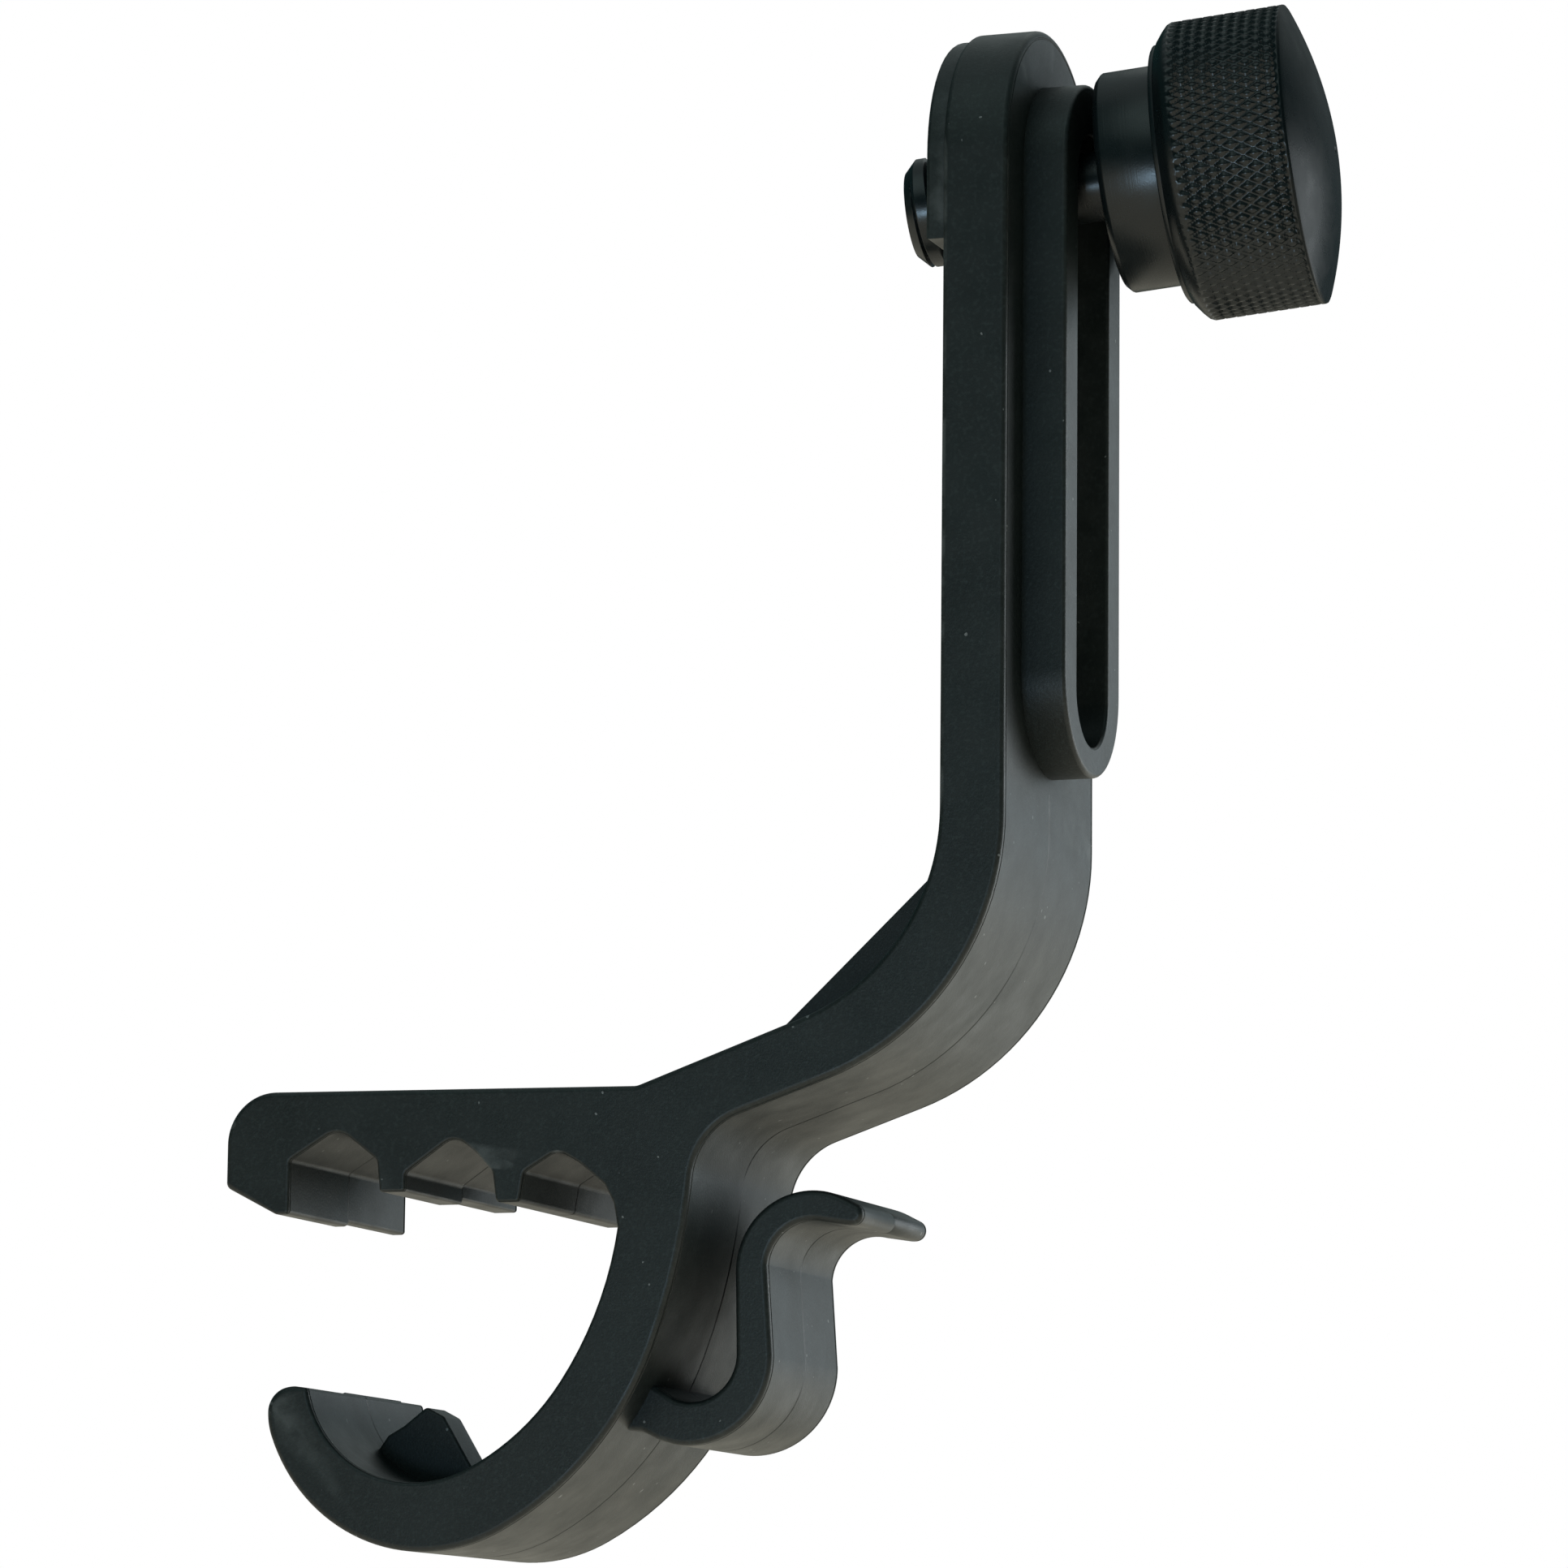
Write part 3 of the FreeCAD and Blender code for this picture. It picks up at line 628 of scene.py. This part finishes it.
def lever_outline():
    """The S of the release lever, from its flared root on the hook's back to its round tip."""
    pen = Pen(24.6, -19.6)
    pen.to(28.0, -21.6, 1.0)
    pen.to(29.4, -22.5, 1.5)
    # the inside of the elbow
    pen.start_arc((31.25, -19.0), ELBOW_INSIDE, -20.0)
    pen.turn(ELBOW_INSIDE, 112.0)
    # over the crest to the tip
    pen.to(35.1, -12.3)
    pen.heading = 92.0
    pen.turn(CREST_OUTSIDE, -119.0)
    pen.go(1.25)
    pen.turn(0.9, -150.0)
    pen.turn(3.0, -10.0)
    # back under the crest, down the outside and round the elbow
    pen.start_arc((41.9, -11.95), CREST_INSIDE, 166.0)
    pen.turn(CREST_INSIDE, 100.0)
    pen.to(38.45, -19.2)
    pen.heading = -90.0
    pen.turn(ELBOW_OUTSIDE, -100.0)
    pen.to(28.4, -26.15, 1.5)
    pen.to(27.0, -25.45, 1.0)
    pen.to(22.5, -25.0)
    return pen.points()


def build_lever(material):
    """The finger lever, narrower than the moulding, with the same rounded edges and parting line."""
    bm = bmesh.new()
    points = lever_outline()
    normals = inward(points)
    rows = full_rows(side_rows(LEVER_HALF, EDGE))
    loops = [add_loop(bm, points, depth, side_place, inset, normals) for depth, inset in rows]
    join_loops(bm, loops)
    cap(bm, loops)
    return finish_mesh(bm, "lever_blade", material)


def screw_axes():
    """The thumbscrew's axis, from the knob's spin joint, as a matrix whose Z is the axis."""
    spin = [joint for joint in frame["joints"] if joint["name"] == "knob_spin"][0]
    axis = Vector(spin["axis"]).normalized()
    place = Vector(spin["pos_m"])
    turned = axis.to_track_quat("Z", "Y").to_matrix().to_4x4()
    return Matrix.Translation(place) @ turned


def turned_place(radius, angle, height):
    """A place in metres at a radius and an angle in radians round Z, and a height along it."""
    return (radius * math.cos(angle) * MM, radius * math.sin(angle) * MM, height * MM)


def lathe(bm, profile, count):
    """Turns a run of radius and height pairs round Z; a radius of nought closes the end."""
    rows = []
    for radius, height in profile:
        if radius < 1e-6:
            rows.append([bm.verts.new((0, 0, height * MM))] * count)
            continue
        row = []
        for i in range(count):
            row.append(bm.verts.new(turned_place(radius, 2 * math.pi * i / count, height)))
        rows.append(row)
    for one, two in zip(rows, rows[1:]):
        for i in range(count):
            j = (i + 1) % count
            ring = []
            for vert in (one[i], one[j], two[j], two[i]):
                if vert not in ring:
                    ring.append(vert)
            if len(ring) > 2:
                bm.faces.new(ring)


def knurled_rim(bm):
    """The knob's gripping rim: two families of helical grooves that cross and leave small diamonds."""
    pitch = 2 * math.pi * KNOB_RADIUS / KNURLS
    slant = math.tan(math.radians(KNURL_SLANT))
    rows = int((RIM_END - RIM_START) / KNURL_ROW)
    height = np.linspace(RIM_START, RIM_END, rows + 1)
    arc = np.arange(AROUND) * 2 * math.pi * KNOB_RADIUS / AROUND
    grid_arc, grid_height = np.meshgrid(arc, height)
    groove = np.zeros_like(grid_arc)
    for side in (-1, 1):
        phase = (grid_arc + side * slant * grid_height) / pitch
        away = np.abs(phase - np.round(phase)) * pitch
        groove = np.maximum(groove, KNURL_DEPTH - away * KNURL_FLANK)
    to_end = np.minimum(grid_height - RIM_START, RIM_END - grid_height)
    radius = KNOB_RADIUS - groove * np.clip(to_end / KNURL_RUNOUT, 0, 1)
    angle = grid_arc / KNOB_RADIUS
    grid = []
    for i in range(rows + 1):
        row = []
        for j in range(AROUND):
            row.append(bm.verts.new(turned_place(radius[i, j], angle[i, j], height[i])))
        grid.append(row)
    join_loops(bm, grid)


def knob_profile():
    """The knob's turned surfaces before and after its knurled rim, as radius and height pairs."""
    foot = [(BORE_RADIUS, COLLAR_START + 0.2), (BORE_RADIUS, COLLAR_START)]
    # the collar, with a chamfered front edge
    foot += [(8.85, COLLAR_START), (9.0, COLLAR_START + 0.05), (9.42, 6.85), (COLLAR_RADIUS, 7.0)]
    foot += [(COLLAR_RADIUS, 11.45), (COLLAR_RADIUS, SHOULDER_START)]
    # the shoulder and the chamfer up to the rim
    foot += [(11.0, SHOULDER_START), (11.15, 11.7), (11.2, 12.0), (11.6, 12.2), (12.3, 12.75)]
    foot += [(12.72, 13.15), (KNOB_RADIUS, RIM_START)]
    dome_radius = KNOB_RADIUS - RIM_EDGE
    dome_low = RIM_END + RIM_EDGE
    peak = dome_low + DOME_RISE
    top = [(KNOB_RADIUS, RIM_END), (KNOB_RADIUS - 0.03, RIM_END + 0.12), (dome_radius, dome_low)]
    ball = (dome_radius**2 + DOME_RISE**2) / (2 * DOME_RISE)
    reach = math.asin(dome_radius / ball)
    for i in range(1, DOME_STEPS):
        angle = reach * (1 - i / DOME_STEPS)
        top.append((ball * math.sin(angle), peak - ball * (1 - math.cos(angle))))
    # a tiny dimple at the middle of the dome
    pit = peak - DIMPLE_DEPTH
    top += [(DIMPLE_RADIUS, peak), (0.3, peak - 0.08), (0.12, pit), (0.0, pit)]
    return foot, top


def build_knob(material, dome_material):
    """The collar, the knurled rim and the domed end, which is more matt than the rest."""
    bm = bmesh.new()
    foot, top = knob_profile()
    lathe(bm, foot, AROUND)
    knurled_rim(bm)
    lathe(bm, top, AROUND)
    made = finish_mesh(bm, "knob_turned", material, 50.0)
    made.data.materials.append(dome_material)
    for face in made.data.polygons:
        if face.center.z > RIM_END * MM:
            face.material_index = 1
    made.matrix_world = screw_axes()
    return made


def thread_radius(height, turn):
    """The threaded end's radius: a helix with broad crests and fine roots, chamfered at its end."""
    phase = ((height - THREAD_END - ROOT_START) / THREAD_PITCH - turn + 0.5) % 1.0
    root = np.clip(1 - abs(phase - 0.5) * 2 / ROOT_SHARE, 0, 1)
    chamfer = END_RADIUS + height - THREAD_END
    shoulder = CORE_RADIUS + RUN_IN_RISE * (THREAD_START - height) / RUN_IN
    return min(THREAD_RADIUS - THREAD_DEPTH * root, chamfer, shoulder)


def build_stud(material):
    """The shank and its threaded end."""
    bm = bmesh.new()
    shank = [(SHANK_RADIUS, 6.8), (SHANK_RADIUS, -7.3), (3.35, THREAD_START), (CORE_RADIUS, THREAD_START)]
    lathe(bm, shank, SHANK_AROUND)
    rows = []
    for height in np.linspace(THREAD_START, THREAD_END, THREAD_ROWS):
        row = []
        for j in range(THREAD_AROUND):
            turn = j / THREAD_AROUND
            radius = thread_radius(height, turn)
            row.append(bm.verts.new(turned_place(radius, 2 * math.pi * turn, height)))
        rows.append(row)
    join_loops(bm, rows)
    bm.faces.new(rows[-1])
    made = finish_mesh(bm, "stud_turned", material, 50.0)
    made.matrix_world = screw_axes()
    return made


class Nodes:
    """A material's node tree, with short ways to add and join nodes."""

    def __init__(self, name):
        self.material = bpy.data.materials.new(name)
        self.material.use_nodes = True
        self.tree = self.material.node_tree
        self.tree.nodes.clear()
        self.output = self.add("ShaderNodeOutputMaterial")
        self.surface = self.add("ShaderNodeBsdfPrincipled")
        self.link(self.surface, "BSDF", self.output, "Surface")
        self.place = self.add("ShaderNodeTexCoord")

    def add(self, kind, **settings):
        node = self.tree.nodes.new(kind)
        for name, value in settings.items():
            setattr(node, name, value)
        return node

    def link(self, source, source_name, target, target_name):
        self.tree.links.new(source.outputs[source_name], target.inputs[target_name])

    def noise(self, per_mm, detail=3.0, stretch=(1.0, 1.0, 1.0)):
        """Noise with a number of cells to the millimetre; stretch multiplies it along each axis."""
        mapping = self.add("ShaderNodeMapping")
        mapping.inputs["Scale"].default_value = [per_mm / MM * s for s in stretch]
        self.link(self.place, "Object", mapping, "Vector")
        noise = self.add("ShaderNodeTexNoise")
        noise.inputs["Scale"].default_value = 1.0
        noise.inputs["Detail"].default_value = detail
        self.link(mapping, "Vector", noise, "Vector")
        return noise

    def remap(self, source, source_name, low, high, to_low, to_high):
        """A value moved from one range to another and held within it."""
        node = self.add("ShaderNodeMapRange")
        node.inputs["From Min"].default_value = low
        node.inputs["From Max"].default_value = high
        node.inputs["To Min"].default_value = to_low
        node.inputs["To Max"].default_value = to_high
        self.link(source, source_name, node, "Value")
        return node

    def multiply(self, one, one_name, two, two_name):
        node = self.add("ShaderNodeMath", operation="MULTIPLY")
        self.tree.links.new(one.outputs[one_name], node.inputs[0])
        self.tree.links.new(two.outputs[two_name], node.inputs[1])
        return node

    def mix(self, factor, factor_name, one, two):
        """A colour between two; each may be a colour or a mix node made earlier."""
        node = self.add("ShaderNodeMix", data_type="RGBA")
        self.tree.links.new(factor.outputs[factor_name], node.inputs[0])
        for socket, colour in ((6, one), (7, two)):
            if isinstance(colour, tuple):
                node.inputs[socket].default_value = (*colour, 1.0)
            else:
                self.tree.links.new(colour.outputs[2], node.inputs[socket])
        return node

    def bump(self, height, height_name, distance_mm, strength, under=None):
        node = self.add("ShaderNodeBump")
        node.inputs["Distance"].default_value = distance_mm * MM
        node.inputs["Strength"].default_value = strength
        self.link(height, height_name, node, "Height")
        if under is not None:
            self.link(under, "Normal", node, "Normal")
        return node

    def dull(self, share, colour):
        """Covers a share of the surface with a matt colour, which also dims its edge reflections."""
        matt = self.add("ShaderNodeBsdfDiffuse")
        matt.inputs["Color"].default_value = (*colour, 1.0)
        both = self.add("ShaderNodeMixShader")
        both.inputs["Fac"].default_value = share
        self.tree.links.new(self.surface.outputs["BSDF"], both.inputs[1])
        self.tree.links.new(matt.outputs["BSDF"], both.inputs[2])
        self.link(both, "Shader", self.output, "Surface")
        return both

    def shelter(self, reach_mm, open_value, deep_value, most):
        """How far what stands near a spot shelters it, from nought in the open to the most in a recess."""
        nearby = self.add("ShaderNodeAmbientOcclusion", samples=12)
        nearby.inputs["Distance"].default_value = reach_mm * MM
        return self.remap(nearby, "AO", deep_value, open_value, most, 0.0)

    def colour(self, mixed):
        self.tree.links.new(mixed.outputs[2], self.surface.inputs["Base Color"])


def moulded_plastic():
    """Black glass-filled nylon: a fine grain, cloudy colour, edges lightened partly by rubbed wear and
    partly by a painted highlight, nicks, and a painted shade that darkens its recesses.
    """
    nodes = Nodes("moulded_plastic")
    cloud = nodes.remap(nodes.noise(0.12, 4.0), "Fac", 0.35, 0.65, 0.0, 1.0)
    body = nodes.mix(cloud, "Result", PLASTIC_DARK, PLASTIC_LIGHT)
    speck = nodes.remap(nodes.noise(2.6, 2.0), "Fac", 0.5, 0.72, 0.0, 0.55)
    body = nodes.mix(speck, "Result", body, PLASTIC_SPECK)
    geometry = nodes.add("ShaderNodeNewGeometry")
    # lighter rounded edges: partly rubbed wear, partly a painted highlight where the edges catch the light
    edge = nodes.remap(geometry, "Pointiness", 0.52, 0.62, 0.0, 1.0)
    rubbed = nodes.remap(nodes.noise(0.5, 5.0), "Fac", 0.42, 0.62, 0.15, 0.8)
    wear = nodes.multiply(edge, "Result", rubbed, "Result")
    body = nodes.mix(wear, "Value", body, PLASTIC_WORN_AND_HIGHLIGHT)
    nick = nodes.remap(nodes.noise(1.6, 0.0), "Fac", 0.845, 0.865, 0.0, 0.6)
    body = nodes.mix(nick, "Result", body, PLASTIC_NICK)
    nodes.colour(body)
    patches = nodes.remap(nodes.noise(0.3, 4.0), "Fac", 0.3, 0.7, 0.40, 0.50)
    nodes.link(patches, "Result", nodes.surface, "Roughness")
    grain = nodes.bump(nodes.noise(5.0, 3.0), "Fac", 0.05, 0.35)
    swell = nodes.bump(nodes.noise(0.35, 2.0), "Fac", 0.12, 0.12, under=grain)
    nodes.link(swell, "Normal", nodes.surface, "Normal")
    nodes.surface.inputs["IOR"].default_value = 1.5
    # painted shade: the most sheltered recesses are mixed toward a dull dark colour, darkening them where
    # shade falls
    recess_shade = nodes.dull(0.0, PLASTIC_LIGHT)
    nodes.link(nodes.shelter(12.0, 0.85, 0.35, RECESS_SHADE), "Result", recess_shade, "Fac")
    return nodes.material


def black_metal(name, matt_share):
    """Blackened steel: turning rings round the axis, faint mottling and bright worn crests."""
    nodes = Nodes(name)
    cloud = nodes.remap(nodes.noise(0.2, 4.0), "Fac", 0.35, 0.65, 0.0, 1.0)
    body = nodes.mix(cloud, "Result", METAL_DARK, METAL_LIGHT)
    geometry = nodes.add("ShaderNodeNewGeometry")
    edge = nodes.remap(geometry, "Pointiness", 0.53, 0.68, 0.0, 1.0)
    rubbed = nodes.remap(nodes.noise(0.4, 5.0), "Fac", 0.45, 0.65, 0.0, 0.6)
    wear = nodes.multiply(edge, "Result", rubbed, "Result")
    body = nodes.mix(wear, "Value", body, METAL_WORN)
    nodes.colour(body)
    nodes.surface.inputs["IOR"].default_value = 1.75
    nodes.dull(matt_share, METAL_DARK)
    patches = nodes.remap(nodes.noise(0.5, 4.0), "Fac", 0.3, 0.7, 0.24, 0.34)
    nodes.link(patches, "Result", nodes.surface, "Roughness")
    rings = nodes.bump(nodes.noise(1.0, 2.0, (0.02, 0.02, 9.0)), "Fac", 0.02, 0.35)
    grain = nodes.bump(nodes.noise(6.0, 2.0), "Fac", 0.02, 0.25, under=rings)
    nodes.link(grain, "Normal", nodes.surface, "Normal")
    return nodes.material


def toward(azimuth, height):
    """The unit vector to an azimuth, from the far side toward the right, and a height in degrees."""
    around = math.radians(azimuth)
    up = math.radians(height)
    return Vector((math.sin(around) * math.cos(up), math.cos(around) * math.cos(up), math.sin(up)))


def make_camera():
    """The camera looks a little upwards at the clamp, from the right of its near side."""
    data = bpy.data.cameras.new("camera")
    data.sensor_width = CAMERA_SENSOR
    data.lens = CAMERA_LENS
    camera = bpy.data.objects.new("camera", data)
    look = toward(-CAMERA_AZIMUTH, CAMERA_CLIMB)
    turn = look.to_track_quat("-Z", "Y").to_matrix().to_4x4()
    roll = Matrix.Rotation(math.radians(CAMERA_ROLL), 4, "Z")
    camera.matrix_world = Matrix.Translation(Vector(CAMERA_PLACE) * MM) @ turn @ roll
    bpy.context.scene.collection.objects.link(camera)
    bpy.context.scene.camera = camera


def add_area(name, place, target, size, power, colour):
    """A rectangular light at a place, turned to a target and not seen by the camera itself."""
    data = bpy.data.lights.new(name, "AREA")
    data.shape = "RECTANGLE"
    data.size = size[0]
    data.size_y = size[1]
    data.energy = power
    data.color = colour
    light = bpy.data.objects.new(name, data)
    light.visible_camera = False
    light.location = place
    light.rotation_euler = (Vector(target) - Vector(place)).to_track_quat("-Z", "Y").to_euler()
    bpy.context.scene.collection.objects.link(light)


def add_soft_light(tree, before, azimuth, height, width, colour):
    """The room's colour with one more soft patch: it is full near its middle and fades out round it."""
    aim = tree.nodes.new("ShaderNodeVectorMath")
    aim.operation = "DOT_PRODUCT"
    aim.inputs[1].default_value = toward(azimuth, height)
    place = tree.nodes.new("ShaderNodeTexCoord")
    tree.links.new(place.outputs["Generated"], aim.inputs[0])
    fade = tree.nodes.new("ShaderNodeMapRange")
    fade.interpolation_type = "SMOOTHSTEP"
    fade.inputs["From Min"].default_value = math.cos(math.radians(1.6 * width))
    fade.inputs["From Max"].default_value = math.cos(math.radians(0.4 * width))
    tree.links.new(aim.outputs["Value"], fade.inputs["Value"])
    add = tree.nodes.new("ShaderNodeMix")
    add.data_type = "RGBA"
    add.blend_type = "ADD"
    tree.links.new(fade.outputs["Result"], add.inputs[0])
    tree.links.new(before, add.inputs[6])
    add.inputs[7].default_value = (*colour, 1.0)
    return add.outputs[2]


def make_world():
    """A dim soft room with brighter patches, which the camera itself sees as plain white."""
    world = bpy.data.worlds.new("soft_room")
    bpy.context.scene.world = world
    world.use_nodes = True
    tree = world.node_tree
    tree.nodes.clear()
    output = tree.nodes.new("ShaderNodeOutputWorld")
    room = tree.nodes.new("ShaderNodeBackground")
    seen = tree.nodes.new("ShaderNodeBackground")
    choose = tree.nodes.new("ShaderNodeMixShader")
    path = tree.nodes.new("ShaderNodeLightPath")
    seen.inputs["Color"].default_value = (1.0, 1.0, 1.0, 1.0)
    dim = tree.nodes.new("ShaderNodeRGB")
    dim.outputs[0].default_value = (*ROOM, 1.0)
    colour = dim.outputs[0]
    for light in SOFT_LIGHTS:
        colour = add_soft_light(tree, colour, *light)
    tree.links.new(colour, room.inputs["Color"])
    tree.links.new(path.outputs["Is Camera Ray"], choose.inputs["Fac"])
    tree.links.new(room.outputs["Background"], choose.inputs[1])
    tree.links.new(seen.outputs["Background"], choose.inputs[2])
    tree.links.new(choose.outputs["Shader"], output.inputs["Surface"])


def make_floor():
    """A plain pale floor well below the clamp, glowing a little as a lit table does."""
    bm = bmesh.new()
    bmesh.ops.create_grid(bm, x_segments=12, y_segments=12, size=FLOOR_HALF)
    mesh = bpy.data.meshes.new("floor")
    bm.to_mesh(mesh)
    bm.free()
    floor = bpy.data.objects.new("floor", mesh)
    floor.location = (0.0, 0.0, FLOOR_HEIGHT)
    bpy.context.scene.collection.objects.link(floor)
    nodes = Nodes("pale_floor")
    cloud = nodes.remap(nodes.noise(0.004, 3.0), "Fac", 0.3, 0.7, 0.0, 1.0)
    sand = nodes.mix(cloud, "Result", FLOOR_DARK, FLOOR_LIGHT)
    nodes.colour(sand)
    nodes.tree.links.new(sand.outputs[2], nodes.surface.inputs["Emission Color"])
    nodes.surface.inputs["Emission Strength"].default_value = FLOOR_GLOW
    nodes.surface.inputs["Roughness"].default_value = 0.8
    mesh.materials.append(nodes.material)


def add_lights():
    """A window on the right, a small box low behind the camera and a bright patch on the floor, with
    places and sizes in metres and power in watts."""
    arm = (0.04, 0, 0.03)
    knob = (0.075, 0, 0.08)
    patch = (0.22, 0.66, FLOOR_HEIGHT + 0.002)
    above_patch = (0.22, 0.66, 0.5)
    add_area("right_window", (0.53, 0.50, 0.06), arm, (0.42, 0.42), 1.75, (0.90, 0.97, 1.0))
    add_area("low_box", (0.03, -0.75, -0.12), knob, (0.11, 0.08), 0.75, (0.50, 0.76, 1.0))
    add_area("floor_sheen", patch, above_patch, (0.36, 0.44), 0.45, (0.80, 0.92, 1.0))


def build_clamp():
    """Builds every visible piece and hides the CAD parts it replaces; the seat, web, wedge, knob and stud
    ride on their bodies, while the moulding and the lever have their transforms baked in place.
    """
    plastic = moulded_plastic()
    metal = black_metal("black_metal", METAL_MATT)
    dome = black_metal("matt_dome", DOME_MATT)

    body = build_moulding(plastic)
    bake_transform(body)
    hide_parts("clip_arm", "spring_hook")
    for piece in (build_seat(plastic), build_web(plastic)):
        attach(piece, "arm")
    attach(build_wedge(plastic), "hook")

    lever = build_lever(plastic)
    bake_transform(lever)
    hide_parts("release_lever")

    knob = build_knob(metal, dome)
    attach(knob, "knob")
    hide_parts("thumb_knob")
    stud = build_stud(metal)
    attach(stud, "stud")
    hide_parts("threaded_stud")


build_clamp()
make_camera()
make_world()
make_floor()
add_lights()
scene = bpy.context.scene
scene.view_settings.view_transform = "Standard"
